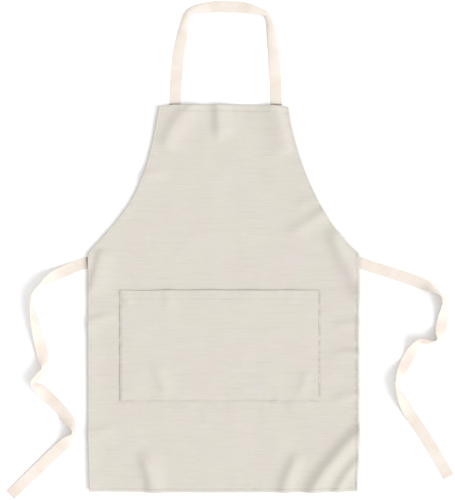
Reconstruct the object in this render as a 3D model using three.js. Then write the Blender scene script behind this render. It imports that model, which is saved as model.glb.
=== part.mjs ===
// A bib apron of off-white cotton canvas, laid on its back on a flat surface, face up.
// Millimetres. +X runs across the apron, +Y from the bottom hem to the neck loop, and +Z up from
// the surface. Left is -X. Heights and places below are measured from a point near the middle of
// the bottom edge, and the last lines move the origin to the middle of the whole footprint.
import * as THREE from "three";

// Body panel
const apronLength = 855;
const skirtEdge = { left: -296, right: 300 };
const bibEdge = { left: -139, right: 144 };
const waistHeight = 530; // the corner under each armhole
const armholeHandles = { // of each armhole's curve, which are not cut quite alike
  left: { lower: [-187, 643], upper: [-166, 690] },
  right: { lower: [213, 594], upper: [152, 770] },
};
const hemDepth = { top: 16, bottom: 10, side: 10, armhole: 9.6 };
const sideHemShort = 6; // the side hem stops this far under the armhole's corner
const armholeHemSpan = [0.03, 0.94]; // of the armhole's curve, clear of the hems at its ends

// Pocket
const pocketWidth = 442;
const pocketHeight = 245;
const pocketBottom = 200;
const pocketOffset = -7;
const pocketHemDepth = 20;
const pocketTurning = 8; // the edge turned under on the three sewn sides
const pocketRise = 14; // how far the middle of the mouth stands off the panel
const pocketSwellPower = 0.8; // below 1, the cloth rises sooner above the pocket's foot
const pocketGrid = { columns: 22, rows: 9 };

// Tape
const tapeWidth = 25;
const sewnLength = 14; // the end of each tape that is caught in the hem
const neckTapeAt = { left: -105, right: 118 };
const tieHeight = 507;

// Stitching: how far each line runs in from an edge, and what a bar tack measures
const stitching = {
  hem: 2, // from the inner edge of a turned hem
  corner: 2, // a line stops this far short of the next edge
  pocket: 3,
  neckTack: 5,
  tieTack: 4,
};
const barTack = { width: 2.4, length: 9, fromMouth: 0.5, lift: 1.2 };
const stationSpacing = { hem: 25, pocket: 20, mouth: 16, tack: 8 };
const armholeSteps = 16;

// Layers, from the surface up
const cloth = 0.6;
const turnedHem = 1.0; // two plies, pressed
const tape = 1.0;
const thread = 0.4;
const threadWidth = 0.9;
const gap = 0.3; // between layers that lie on each other
const tapeBottom = turnedHem + gap;
const panelBottom = tapeBottom + tape + gap;
const panelTop = panelBottom + cloth;
const turningBottom = panelTop + gap;
const pocketUnder = turningBottom + cloth + gap;

// Each tape's route: across, along, and how far it is rolled from lying flat, in degrees. Rolled
// to 90 it stands on its edge, with the edge on the right of its run uppermost.
const neckRoute = [
  [-105, 855, 0], [-105, 867, 0], [-104, 897, 0], [-99, 959, 3], [-94, 990, 12], [-90, 1012, 28],
  [-84, 1038, 54], [-77, 1056, 68], [-64, 1066, 58], [-48, 1070, 42], [-19, 1073, 15],
  [11, 1073, 0], [40, 1072, 12], [62, 1068, 33], [84, 1061, 60], [98, 1052, 74], [106, 1025, 52],
  [110, 994, 32], [113, 966, 22], [115, 932, 8], [117, 900, 0], [118, 867, 0], [118, 855, 0],
];
const leftTieRoute = [
  [-296, 507, 0], [-308, 505, 0], [-325, 499, 0], [-346, 490, 6], [-367, 480, 20],
  [-385, 470, 50], [-399, 460, 78], [-410, 451, 90], [-419, 439, 90], [-423, 424, 90],
  [-422, 409, 84], [-419, 396, 68], [-416, 382, 55], [-412, 364, 42], [-406, 335, 24],
  [-400, 307, 12], [-396, 292, 26], [-393, 281, 64], [-396, 272, 78], [-403, 262, 66],
  [-411, 251, 60], [-418, 243, 72], [-415, 236, 66], [-405, 228, 32], [-391, 214, 8],
  [-369, 192, 0], [-352, 173, 6], [-338, 156, 36], [-330, 144, 70], [-329, 130, 78],
  [-337, 119, 44], [-352, 105, 14], [-382, 77, 8], [-412, 48, 6], [-441, 20, 4], [-470, -7, 0],
];
const rightTieRoute = [
  [300, 507, 0], [310, 505, 0], [330, 497, 0], [370, 485, 0], [421, 468, 4], [446, 458, 16],
  [465, 449, 50], [479, 438, 74], [488, 423, 62], [490, 405, 36], [486, 382, 16], [482, 362, 14],
  [478, 348, 38], [474, 337, 72], [462, 331, 76], [449, 332, 62], [436, 333, 60],
  [427, 326, 46], [420, 314, 20], [411, 298, 4], [402, 281, 10], [393, 264, 34],
  [387, 250, 56], [384, 238, 66], [387, 224, 60], [394, 208, 40], [403, 191, 18],
  [415, 170, 4], [437, 138, 0], [470, 85, 0], [500, 33, 0],
];
const stationsPerPoint = 4;
const tapeColumns = 4;
const landing = 26; // how far past the hem a tape has come down to the surface
const rightAngle = Math.PI / 2;

const canvas = { color: 0xe1dcd2, roughness: 0.95, metalness: 0 };
const twill = { color: 0xf7ebdf, roughness: 0.9, metalness: 0 };
const cotton = { color: 0xe9e4da, roughness: 0.8, metalness: 0 };

const apron = new THREE.Group();

function add(name, geometry, look) {
  const mesh = new THREE.Mesh(geometry, new THREE.MeshStandardMaterial(look));
  mesh.name = name;
  apron.add(mesh);
  return mesh;
}

// A flat sheet, size across by along, with its lower left corner at x, y and its underside at z.
function sheet(name, x, y, z, width, length, thickness, look) {
  const mesh = add(name, new THREE.BoxGeometry(width, length, thickness), look);
  mesh.position.set(x + width / 2, y + length / 2, z + thickness / 2);
}

// A strip bent along its stations, each with a place, a tangent and a roll. A strip that twists
// needs a few columns, or its two faces would pass through each other.
function bentStrip(stations, width, thickness, columns = 1) {
  const steps = stations.length - 1;
  const geometry = new THREE.BoxGeometry(width, thickness, 1, columns, 1, steps);
  const position = geometry.getAttribute("position");
  const up = new THREE.Vector3(0, 0, 1);
  for (let i = 0; i < position.count; i++) {
    const { place, tangent, roll } = stations[Math.round((position.getZ(i) + 0.5) * steps)];
    const level = new THREE.Vector3().crossVectors(up, tangent).normalize();
    const above = new THREE.Vector3().crossVectors(tangent, level);
    const across = level.multiplyScalar(Math.cos(roll)).addScaledVector(above, -Math.sin(roll));
    const normal = new THREE.Vector3().crossVectors(tangent, across);
    const point = place.clone().addScaledVector(across, position.getX(i));
    point.addScaledVector(normal, position.getY(i));
    position.setXYZ(i, point.x, point.y, point.z);
  }
  return geometry;
}

// Places along a line on the apron, with a height for each and a tangent between neighbours.
function stationsOf(places, rolls = []) {
  return places.map((place, i) => ({
    place,
    tangent: places[Math.min(i + 1, places.length - 1)]
      .clone()
      .sub(places[Math.max(i - 1, 0)])
      .normalize(),
    roll: rolls[i] ?? 0,
  }));
}

// How high the middle of a tape is: on its lower edge where it is rolled, on its hem at the seam.
function tapeHeight(roll, fromSeam) {
  const resting = (tapeWidth / 2) * Math.sin(roll) + (tape / 2) * Math.cos(roll);
  const sewn = tapeBottom + tape / 2;
  const share = THREE.MathUtils.smoothstep(fromSeam, 0, landing);
  return THREE.MathUtils.lerp(sewn, resting, share);
}

// A tape along its route. It starts, and ends where bothSewn, a gap away from the seam.
function tapeAlong(route, bothSewn) {
  const curve = new THREE.CatmullRomCurve3(
    route.map((point) => new THREE.Vector3(...point)), false, "catmullrom", 0.5,
  );
  const count = (route.length - 1) * stationsPerPoint;
  const flat = Array.from({ length: count + 1 }, (_, i) => curve.getPoint(i / count));
  const run = [0];
  for (let i = 1; i <= count; i++) {
    run.push(run[i - 1] + Math.hypot(flat[i].x - flat[i - 1].x, flat[i].y - flat[i - 1].y));
  }
  const rolls = flat.map((point) => THREE.MathUtils.degToRad(Math.max(0, point.z)));
  const places = flat.map((point, i) => {
    const fromSeam = bothSewn ? Math.min(run[i], run[count] - run[i]) : run[i];
    return new THREE.Vector3(point.x, point.y, tapeHeight(rolls[i], fromSeam));
  });
  const stations = stationsOf(places, rolls);
  squareUp(stations[0], gap);
  if (bothSewn) squareUp(stations[count], -gap);
  return bentStrip(stations, tapeWidth, tape, tapeColumns);
}

// The end of a tape's free run is cut along the apron's edge, and stops a distance short of it.
function squareUp(station, distance) {
  const { tangent } = station;
  const alongX = Math.abs(tangent.x) > Math.abs(tangent.y);
  tangent.set(alongX ? Math.sign(tangent.x) : 0, alongX ? 0 : Math.sign(tangent.y), 0);
  station.place.addScaledVector(tangent, distance);
}

function pocketHeightAt(x, y) {
  const across = (x - pocketOffset) / (pocketWidth / 2);
  const along = (y - pocketBottom) / pocketHeight;
  const side = Math.max(0, Math.cos(across * rightAngle));
  const rise = Math.sin(THREE.MathUtils.clamp(along, 0, 1) * rightAngle) ** pocketSwellPower;
  return pocketRise * side * rise;
}

// A sheet that follows the pocket's swell, at a height below or above the pocket's underside.
function swollenSheet(x, y, z, width, length, thickness, columns, rows) {
  const geometry = new THREE.BoxGeometry(width, length, thickness, columns, rows, 1);
  geometry.translate(x + width / 2, y + length / 2, z + thickness / 2);
  const position = geometry.getAttribute("position");
  for (let i = 0; i < position.count; i++) {
    const swell = pocketHeightAt(position.getX(i), position.getY(i));
    position.setZ(i, position.getZ(i) + swell);
  }
  return geometry;
}

// A seam's thread along a line of corners, on top of the cloth at the height that top gives.
function seam(name, corners, top, spacing = stationSpacing.hem) {
  const places = [];
  for (let i = 1; i < corners.length; i++) {
    const [x0, y0] = corners[i - 1];
    const [x1, y1] = corners[i];
    const steps = Math.max(1, Math.round(Math.hypot(x1 - x0, y1 - y0) / spacing));
    for (let k = i === 1 ? 0 : 1; k <= steps; k++) {
      const x = THREE.MathUtils.lerp(x0, x1, k / steps);
      const y = THREE.MathUtils.lerp(y0, y1, k / steps);
      places.push(new THREE.Vector3(x, y, top(x, y) + gap + thread / 2));
    }
  }
  add(name, bentStrip(stationsOf(places), threadWidth, thread), cotton);
}

const onPanel = () => panelTop;
const onPocket = (x, y) => pocketUnder + cloth + pocketHeightAt(x, y);

const sides = { left: -1, right: 1 };

// Points of an armhole's edge from the waist up, moved inwards from it.
function armhole(name, inwards, from = 0, to = 1) {
  const side = sides[name];
  const curve = new THREE.CubicBezierCurve(
    new THREE.Vector2(skirtEdge[name], waistHeight),
    new THREE.Vector2(...armholeHandles[name].lower),
    new THREE.Vector2(...armholeHandles[name].upper),
    new THREE.Vector2(bibEdge[name], apronLength),
  );
  return Array.from({ length: armholeSteps + 1 }, (_, i) => {
    const at = THREE.MathUtils.lerp(from, to, i / armholeSteps);
    const tangent = curve.getTangent(at);
    const inward = new THREE.Vector2(-tangent.y, tangent.x).multiplyScalar(side * inwards);
    return curve.getPoint(at).add(inward);
  });
}

function bodyPanel() {
  const outline = new THREE.Shape();
  outline.moveTo(skirtEdge.left, 0);
  outline.lineTo(skirtEdge.right, 0);
  armhole("right", 0).forEach((point) => outline.lineTo(point.x, point.y));
  armhole("left", 0).reverse().forEach((point) => outline.lineTo(point.x, point.y));
  const geometry = new THREE.ExtrudeGeometry(outline, { depth: cloth, bevelEnabled: false });
  geometry.translate(0, 0, panelBottom);
  add("body_panel", geometry, canvas);
}

function hems() {
  const bibWidth = bibEdge.right - bibEdge.left;
  const topStart = apronLength - hemDepth.top;
  sheet("top_hem", bibEdge.left, topStart, 0, bibWidth, hemDepth.top, turnedHem, canvas);
  const skirtWidth = skirtEdge.right - skirtEdge.left;
  sheet("bottom_hem", skirtEdge.left, 0, 0, skirtWidth, hemDepth.bottom, turnedHem, canvas);
  const sideStart = hemDepth.bottom + gap;
  const sideLength = waistHeight - sideHemShort - sideStart;
  for (const [name, side] of Object.entries(sides)) {
    const x = side < 0 ? skirtEdge.left : skirtEdge.right - hemDepth.side;
    sheet(`${name}_side_hem`, x, sideStart, 0, hemDepth.side, sideLength, turnedHem, canvas);
    const middle = armhole(name, hemDepth.armhole / 2, ...armholeHemSpan);
    const places = middle.map((point) => new THREE.Vector3(point.x, point.y, turnedHem / 2));
    add(`${name}_armhole_hem`, bentStrip(stationsOf(places), hemDepth.armhole, turnedHem), canvas);
  }
}

function hemSeams() {
  const topLine = apronLength - hemDepth.top + stitching.hem;
  const topEnds = [bibEdge.left + stitching.corner, bibEdge.right - stitching.corner];
  seam("top_hem_thread", topEnds.map((x) => [x, topLine]), onPanel);
  const bottomLine = hemDepth.bottom - stitching.hem;
  const short = hemDepth.side + stitching.corner;
  const bottomEnds = [skirtEdge.left + short, skirtEdge.right - short];
  seam("bottom_hem_thread", bottomEnds.map((x) => [x, bottomLine]), onPanel);
  for (const [name, side] of Object.entries(sides)) {
    const x = skirtEdge[name] - side * (hemDepth.side - stitching.hem);
    const sideTop = waistHeight - sideHemShort - stitching.corner;
    seam(`${name}_side_thread`, [[x, stitching.corner], [x, sideTop]], onPanel);
    const line = armhole(name, hemDepth.armhole - stitching.hem, ...armholeHemSpan);
    seam(`${name}_armhole_thread`, line.map((point) => [point.x, point.y]), onPanel);
  }
}

function pocket() {
  const left = pocketOffset - pocketWidth / 2;
  const right = left + pocketWidth;
  const mouth = pocketBottom + pocketHeight;
  const { columns, rows } = pocketGrid;
  add("pocket_panel",
    swollenSheet(left, pocketBottom, pocketUnder, pocketWidth, pocketHeight, cloth, columns, rows),
    canvas);
  const inner = pocketTurning + gap;
  add("pocket_top_hem",
    swollenSheet(left + inner, mouth - pocketHemDepth, turningBottom,
      pocketWidth - 2 * inner, pocketHemDepth, cloth, columns, 1), canvas);
  const sideLength = pocketHeight - inner;
  sheet("pocket_left_turning", left, pocketBottom + inner, turningBottom,
    pocketTurning, sideLength, cloth, canvas);
  sheet("pocket_right_turning", right - pocketTurning, pocketBottom + inner, turningBottom,
    pocketTurning, sideLength, cloth, canvas);
  sheet("pocket_bottom_turning", left, pocketBottom, turningBottom,
    pocketWidth, pocketTurning, cloth, canvas);

  const seamLeft = left + stitching.pocket;
  const seamRight = right - stitching.pocket;
  const seamBottom = pocketBottom + stitching.pocket;
  const seamTop = mouth - barTack.length - 2 * barTack.fromMouth;
  seam("pocket_seam_thread",
    [[seamLeft, seamTop], [seamLeft, seamBottom], [seamRight, seamBottom], [seamRight, seamTop]],
    onPocket, stationSpacing.pocket);
  const hemLine = mouth - pocketHemDepth + stitching.hem;
  seam("pocket_hem_thread",
    [[seamLeft + stitching.corner, hemLine], [seamRight - stitching.corner, hemLine]],
    onPocket, stationSpacing.mouth);
  for (const [name, x] of [["left", seamLeft], ["right", seamRight]]) {
    const tack = new THREE.BoxGeometry(barTack.width, barTack.length, thread);
    const height = onPocket(x + stitching.pocket, mouth) + barTack.lift + gap;
    tack.translate(x, mouth - barTack.length / 2 - barTack.fromMouth, height);
    add(`pocket_${name}_bar_tack`, tack, cotton);
  }
}

// A tape's free run, its end inside the hem, and the tack that holds it through the hem.
function neckTape() {
  add("neck_strap", tapeAlong(neckRoute, true), twill);
  for (const [name, x] of Object.entries(neckTapeAt)) {
    sheet(`neck_strap_${name}_end`, x - tapeWidth / 2, apronLength - sewnLength, tapeBottom,
      tapeWidth, sewnLength, tape, twill);
    const line = apronLength - stitching.neckTack;
    const half = tapeWidth / 2 - stitching.corner;
    seam(`neck_strap_${name}_tack`, [[x - half, line], [x + half, line]], onPanel, stationSpacing.tack);
  }
}

function waistTies() {
  for (const [name, side, route] of [["left", -1, leftTieRoute], ["right", 1, rightTieRoute]]) {
    add(`${name}_tie`, tapeAlong(route, false), twill);
    const x = side < 0 ? skirtEdge.left : skirtEdge.right - sewnLength;
    sheet(`${name}_tie_end`, x, tieHeight - tapeWidth / 2, tapeBottom,
      sewnLength, tapeWidth, tape, twill);
    const line = skirtEdge[name] - side * stitching.tieTack;
    const half = tapeWidth / 2 - stitching.corner;
    seam(`${name}_tie_tack`,
      [[line, tieHeight - half], [line, tieHeight + half]], onPanel, stationSpacing.tack);
  }
}

bodyPanel();
hems();
hemSeams();
pocket();
neckTape();
waistTies();

const footprint = new THREE.Box3().setFromObject(apron).getCenter(new THREE.Vector3());
apron.position.set(-footprint.x, -footprint.y, 0);

export default apron;
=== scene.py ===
import math

import bpy
import numpy as np
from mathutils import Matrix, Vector, noise


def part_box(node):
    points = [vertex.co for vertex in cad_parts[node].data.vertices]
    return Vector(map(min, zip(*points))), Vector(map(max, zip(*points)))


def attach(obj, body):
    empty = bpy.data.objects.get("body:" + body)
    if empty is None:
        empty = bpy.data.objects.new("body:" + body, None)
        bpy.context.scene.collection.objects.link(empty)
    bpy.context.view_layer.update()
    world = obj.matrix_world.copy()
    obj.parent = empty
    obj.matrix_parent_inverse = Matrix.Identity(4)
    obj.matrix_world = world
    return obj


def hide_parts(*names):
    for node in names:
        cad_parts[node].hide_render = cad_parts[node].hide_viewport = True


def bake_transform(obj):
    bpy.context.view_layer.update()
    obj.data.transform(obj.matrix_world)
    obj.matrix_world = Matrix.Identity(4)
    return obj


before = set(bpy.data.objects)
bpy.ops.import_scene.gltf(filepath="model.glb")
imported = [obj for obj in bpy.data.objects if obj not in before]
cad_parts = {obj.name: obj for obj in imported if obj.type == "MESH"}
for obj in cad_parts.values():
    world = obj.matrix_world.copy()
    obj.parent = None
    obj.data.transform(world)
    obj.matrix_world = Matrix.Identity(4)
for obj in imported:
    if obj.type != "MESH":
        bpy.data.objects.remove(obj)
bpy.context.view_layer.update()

# Lengths are in millimetres on the flat pattern: x across from near the middle of the bottom
# edge, y up towards the bib, z up from the surface. makeMesh puts them in the frame, in metres.
mm = 0.001
panelLow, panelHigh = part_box("body_panel")
panelFront = panelHigh[2] / mm
scene = bpy.context.scene

pattern = {  # -1 is the left side and 1 is the right
    "skirtEdge": {-1: -296, 1: 300},
    "bibEdge": {-1: -139, 1: 144},
    "length": 855,
    "waist": 530,  # the corner under each armhole
    "lowerHandle": {-1: (-187, 643), 1: (213, 594)},  # of each armhole's curve
    "upperHandle": {-1: (-166, 690), 1: (152, 770)},
    "edgeOut": {-1: 2.7, 1: 1.8},  # how far each side's edge bulges past its line
    "bottomOut": 1.4,
    "bottomRise": 3,  # each bottom corner is drawn up this much
    "bottomTaper": 3.5,  # and in this much
    "taperRun": 140,  # up to this height
    "bibDroop": {-1: 3.3, 1: 5.5},  # each corner of the bib is drawn down this much
    "droopRun": {-1: (105, 139), 1: (95, 144)},  # out between these, on its side of the middle
    "topOut": 0.8,
    "topWander": 0.6,  # how far the top of the bib strays from its line
    "edgeWander": 0.5,  # and each side from its own
}
sides = {"left": -1, "right": 1}
canvasPly = 0.6
tapeWidth = 25
tapePly = 0.6
patternOrigin = Vector((panelHigh[0] - pattern["skirtEdge"][1] * mm, panelLow[1], 0))


def patternBox(node):
    return [(np.array(corner) - np.array(patternOrigin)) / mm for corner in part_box(node)]


def smooth(low, high, value):
    t = np.clip((np.asarray(value, float) - low) / (high - low), 0, 1)
    return t * t * (3 - 2 * t)


def drift(x, y, size, seed):  # soft noise, mostly -0.5 to 0.5, in lumps of that size in mm
    x, y = np.broadcast_arrays(np.asarray(x, float), np.asarray(y, float))
    flat = [noise.noise(Vector((a / size, b / size, seed))) for a, b in zip(x.ravel(), y.ravel())]
    return np.array(flat).reshape(x.shape)


def throughPoints(points, perSpan):  # a Catmull-Rom curve through every point
    p = np.array(points, float)
    p = np.vstack([2 * p[0] - p[1], p, 2 * p[-1] - p[-2]])
    t = np.linspace(0, 1, perSpan, endpoint=False)[:, None]
    spans = []
    for a, b, c, d in zip(p[:-3], p[1:-2], p[2:-1], p[3:]):
        cubic = 2 * a - 5 * b + 4 * c - d + t * (3 * (b - c) + d - a)
        spans.append(b + 0.5 * t * (c - a + t * cubic))
    return np.vstack(spans + [p[-2:-1]])


def blurred(values, count):  # a running average of an odd count of values
    return np.convolve(np.pad(values, count // 2, mode="edge"), np.ones(count) / count, "valid")


def makeMesh(name, points, faces, material, edges=(), uvs=None, paintedShade=None):
    mesh = bpy.data.meshes.new(name)
    placed = np.asarray(points, float) * mm + np.array(patternOrigin)
    mesh.from_pydata(placed.tolist(), list(edges), faces)
    if uvs is not None:
        layer = mesh.uv_layers.new(name="run")
        corners = np.empty(len(mesh.loops), int)
        mesh.loops.foreach_get("vertex_index", corners)
        layer.data.foreach_set("uv", uvs[corners].astype(np.float32).ravel())
    # the painted shade, stored on each point for the materials
    if paintedShade is not None:
        mesh.attributes.new("paintedShade", "FLOAT", "POINT").data.foreach_set("value", paintedShade)
    if material:
        mesh.materials.append(material)
    mesh.shade_smooth()
    piece = bpy.data.objects.new(name, mesh)
    scene.collection.objects.link(piece)
    return piece


# A closed sheet between two grids of points. Its painted shade is how dark its colour is painted in a
# seam or a gap, for the shade that falls there.
def shell(name, top, bottom, material, uvs=None, paintedShade=None):
    rows, columns = top.shape[:2]
    count = rows * columns
    index = np.arange(count).reshape(rows, columns)
    a, b = index[:-1, :-1].ravel(), index[:-1, 1:].ravel()
    c, d = index[1:, 1:].ravel(), index[1:, :-1].ravel()
    upper = np.stack([a, b, c, d], 1)
    lower = np.stack([d, c, b, a], 1) + count
    ring = np.concatenate([index[0], index[1:, -1], index[-1, -2::-1], index[-2:0:-1, 0]])
    after = np.roll(ring, -1)
    rim = np.stack([ring + count, after + count, after, ring], 1)
    points = np.concatenate([top.reshape(-1, 3), bottom.reshape(-1, 3)])
    faces = np.concatenate([upper, lower, rim])
    centred = points - points.mean(0)
    corners = centred[faces]
    turned = np.cross(corners[:, 2] - corners[:, 0], corners[:, 3] - corners[:, 1])
    if (corners.mean(1) * turned).sum() < 0:  # the volume is negative, so the faces point inwards
        faces = faces[:, ::-1]
    if uvs is not None:
        uvs = np.concatenate([uvs.reshape(-1, 2)] * 2)
    if paintedShade is not None:
        paintedShade = np.concatenate([paintedShade.ravel()] * 2)
    return makeMesh(name, points, faces.tolist(), material, uvs=uvs, paintedShade=paintedShade)


def linear(hexText):
    channels = [int(hexText[i : i + 2], 16) / 255 for i in (1, 3, 5)]
    return [c / 12.92 if c <= 0.04045 else ((c + 0.055) / 1.055) ** 2.4 for c in channels] + [1]


def addNode(tree, kind, inputs=None, output=0, **settings):
    node = tree.nodes.new(kind)
    for name, value in settings.items():
        setattr(node, name, value)
    for name, value in (inputs or {}).items():
        if isinstance(value, bpy.types.NodeSocket):
            tree.links.new(value, node.inputs[name])
        else:
            node.inputs[name].default_value = value
    return node.outputs[output] if node.outputs else None


def newMaterial(name):
    material = bpy.data.materials.new(name)
    material.use_nodes = True
    material.node_tree.nodes.clear()
    return material, material.node_tree


# Unbleached cotton canvas, plain woven from uneven yarn. The eye gets a matt off-white with level
# streaks where the weft yarn thickens, and soft clouds of faint pink and straw.
canvasLook = {
    "straw": "#CCC8BD",
    "pink": "#CFC5C1",
    "slubDark": "#AAA69B",
    "slubLight": "#DEDBD5",
    "paintedShadeColor": "#9C968C",  # painted shade, for the bottom of a seam
    "cloud": 90,  # mm across a patch of one tint
    "slubLong": 62,
    "slubDeep": 2.3,  # about four real yarns, so that it shows
    "yarn": 1.4,  # mm between yarns, about twice the real spacing, so that it shows
    "pinkRange": (0.45, 0.72, 0.85),  # the noise where a tint starts and is full, and its share there
    "slubDarkRange": (0.48, 0.28, 0.17),
    "slubLightRange": (0.52, 0.76, 0.26),
    "yarnLift": 0.35,  # mm
    "roughness": 0.93,
}
bandUnit = 0.314  # m from band to band of a wave texture at a scale of 1


def canvasMaterial(name, shift):
    look = canvasLook
    material, tree = newMaterial(name)
    place = addNode(tree, "ShaderNodeTexCoord", output="Object")
    field = {}
    for part, size, detail in (
        ("cloud", (look["cloud"], look["cloud"] * 1.2, 400), 3.0),
        ("slub", (look["slubLong"], look["slubDeep"], 90), 1.5),
        ("nep", (look["slubLong"] * 0.3, look["slubDeep"] * 0.6, 90), 1.0),
    ):
        moved = addNode(tree, "ShaderNodeMapping", {
            "Vector": place, "Location": (shift * 3.1, shift * 1.7, shift + len(field) * 5.3),
            "Scale": [1 / (mm * length) for length in size],
        })
        field[part] = addNode(tree, "ShaderNodeTexNoise", {
            "Vector": moved, "Scale": 1.0, "Detail": detail, "Roughness": 0.55,
        })
    color = linear(look["straw"])
    for tint, part in (("pink", "cloud"), ("slubDark", "slub"), ("slubLight", "nep")):
        start, full, most = look[f"{tint}Range"]
        share = addNode(tree, "ShaderNodeMapRange", {
            "Value": field[part], "From Min": start, "From Max": full, "To Max": most,
        })
        color = addNode(tree, "ShaderNodeMix", {
            0: share, 6: color, 7: linear(look[tint]),
        }, output=2, data_type="RGBA")
    # Painted shade: the colour darkens by the mesh's shade attribute, in seams, clefts and along the left
    # edge.
    paintedShade = addNode(tree, "ShaderNodeAttribute", output="Fac", attribute_name="paintedShade")
    color = addNode(tree, "ShaderNodeMix", {
        0: paintedShade, 6: color, 7: linear(look["paintedShadeColor"]),
    }, output=2, data_type="RGBA")
    yarns = [addNode(tree, "ShaderNodeTexWave", {
        "Vector": place, "Scale": bandUnit / (mm * look["yarn"]), "Distortion": 1.2,
        "Detail": 1.0, "Detail Scale": 1.4,
    }, output="Fac", bands_direction=direction) for direction in ("X", "Y")]
    weave = addNode(tree, "ShaderNodeMath", {0: yarns[0], 1: yarns[1]}, operation="MAXIMUM")
    height = addNode(tree, "ShaderNodeMath", {
        0: weave, 1: 0.4, 2: field["slub"],
    }, operation="MULTIPLY_ADD")
    bump = addNode(tree, "ShaderNodeBump", {
        "Height": height, "Strength": 0.5, "Distance": look["yarnLift"] * mm,
    })
    shader = addNode(tree, "ShaderNodeBsdfPrincipled", {
        "Base Color": color, "Roughness": look["roughness"], "Specular IOR Level": 0.25,
        "Sheen Weight": 0.1, "Sheen Roughness": 0.6, "Normal": bump,
    })
    addNode(tree, "ShaderNodeOutputMaterial", {"Surface": shader})
    return material


# Bleached cotton twill tape. The eye gets a warm cream with a faint rib at a slant, between two
# firmer woven edges.
tapeLook = {
    "cream": "#E6DDD4",
    "shade": "#DED1C4",
    "paintedShadeColor": "#7A6657",  # painted shade, for the gap under a hem
    "patch": 45,  # mm across a patch of one tint
    "rib": 1.5,  # mm, about twice the real rib, so that it shows
    "ribSlant": 58,  # degrees
    "ribLift": 0.2,  # mm
    "firmEdge": 1.3,  # mm of each edge
    "roughness": 0.85,
}


def tapeMaterial():
    look = tapeLook
    material, tree = newMaterial("cotton twill tape")
    run = addNode(tree, "ShaderNodeUVMap", uv_map="run")
    moved = addNode(tree, "ShaderNodeMapping", {
        "Vector": run, "Scale": (0.6 / (mm * look["patch"]), 1 / (mm * look["patch"]), 1),
    })
    patches = addNode(tree, "ShaderNodeTexNoise", {"Vector": moved, "Scale": 1.0, "Detail": 3.0})
    share = addNode(tree, "ShaderNodeMapRange", {"Value": patches, "From Min": 0.4, "From Max": 0.7})
    color = addNode(tree, "ShaderNodeMix", {
        0: share, 6: linear(look["cream"]), 7: linear(look["shade"]),
    }, output=2, data_type="RGBA")
    slanted = addNode(tree, "ShaderNodeMapping", {
        "Vector": run, "Rotation": (0, 0, math.radians(look["ribSlant"])),
    })
    rib = addNode(tree, "ShaderNodeTexWave", {
        "Vector": slanted, "Scale": bandUnit / (mm * look["rib"]), "Distortion": 0.5,
    }, output="Fac", bands_direction="X")
    across = addNode(tree, "ShaderNodeSeparateXYZ", {0: run})
    fromMiddle = addNode(tree, "ShaderNodeMath", {0: across}, operation="ABSOLUTE")
    firm = addNode(tree, "ShaderNodeMapRange", {
        "Value": fromMiddle, "From Min": mm * (tapeWidth / 2 - look["firmEdge"]),
        "From Max": mm * (tapeWidth / 2 - 0.5 * look["firmEdge"]),
    })
    height = addNode(tree, "ShaderNodeMath", {0: rib, 1: 0.6, 2: firm}, operation="MULTIPLY_ADD")
    bump = addNode(tree, "ShaderNodeBump", {
        "Height": height, "Strength": 0.5, "Distance": look["ribLift"] * mm,
    })
    # Painted shade: the colour darkens by the mesh's shade attribute, where the tape comes out from under
    # a hem.
    paintedShade = addNode(tree, "ShaderNodeAttribute", output="Fac", attribute_name="paintedShade")
    color = addNode(tree, "ShaderNodeMix", {
        0: paintedShade, 6: color, 7: linear(look["paintedShadeColor"]),
    }, output=2, data_type="RGBA")
    shader = addNode(tree, "ShaderNodeBsdfPrincipled", {
        "Base Color": color, "Roughness": look["roughness"], "Specular IOR Level": 0.3,
        "Sheen Weight": 0.12, "Sheen Roughness": 0.5, "Normal": bump,
    })
    addNode(tree, "ShaderNodeOutputMaterial", {"Surface": shader})
    return material


# Spun polyester sewing thread, twisted from two plies. The eye gets short dashes, a little darker
# and smoother than the cloth.
threadLook = {
    "dark": "#B7B0A4",
    "light": "#D6D0C6",
    "twist": 0.8,  # mm
    "roughness": 0.6,
}


def threadMaterial():
    look = threadLook
    material, tree = newMaterial("spun sewing thread")
    place = addNode(tree, "ShaderNodeTexCoord", output="Object")
    twist = addNode(tree, "ShaderNodeTexNoise", {
        "Vector": place, "Scale": 1 / (mm * look["twist"]), "Detail": 1.0,
    })
    color = addNode(tree, "ShaderNodeMix", {
        0: twist, 6: linear(look["dark"]), 7: linear(look["light"]),
    }, output=2, data_type="RGBA")
    shader = addNode(tree, "ShaderNodeBsdfPrincipled", {
        "Base Color": color, "Roughness": look["roughness"], "Specular IOR Level": 0.4,
    })
    addNode(tree, "ShaderNodeOutputMaterial", {"Surface": shader})
    return material


bodyCanvas = canvasMaterial("slubbed cotton canvas", 0)
pocketCanvas = canvasMaterial("slubbed cotton canvas of the pocket", 11)
twillTape = tapeMaterial()
sewingThread = threadMaterial()
print("apron: materials made")


# Where the cloth's edges run.
def armholeCurve(side):
    t = np.linspace(0, 1, 160)[:, None]
    a = np.array([pattern["skirtEdge"][side], pattern["waist"]])
    b, c = np.array(pattern["lowerHandle"][side]), np.array(pattern["upperHandle"][side])
    d = np.array([pattern["bibEdge"][side], pattern["length"]])
    return a * (1 - t) ** 3 + 3 * b * t * (1 - t) ** 2 + 3 * c * t * t * (1 - t) + d * t**3


armholes = {side: armholeCurve(side) for side in (-1, 1)}


def edgeX(side, y):  # where the left (-1) or right (1) edge is, that far up
    y = np.asarray(y, float)
    taper = pattern["bottomTaper"] * (1 - smooth(0, pattern["taperRun"], y))
    curve = armholes[side]
    x = np.interp(y, curve[:, 1], curve[:, 0])
    x = np.where(y < pattern["waist"], pattern["skirtEdge"][side] - side * taper, x)
    x = x + side * pattern["edgeOut"][side]
    return x + pattern["edgeWander"] * drift(side * 40.0, y, size=55, seed=3.3)


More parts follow.
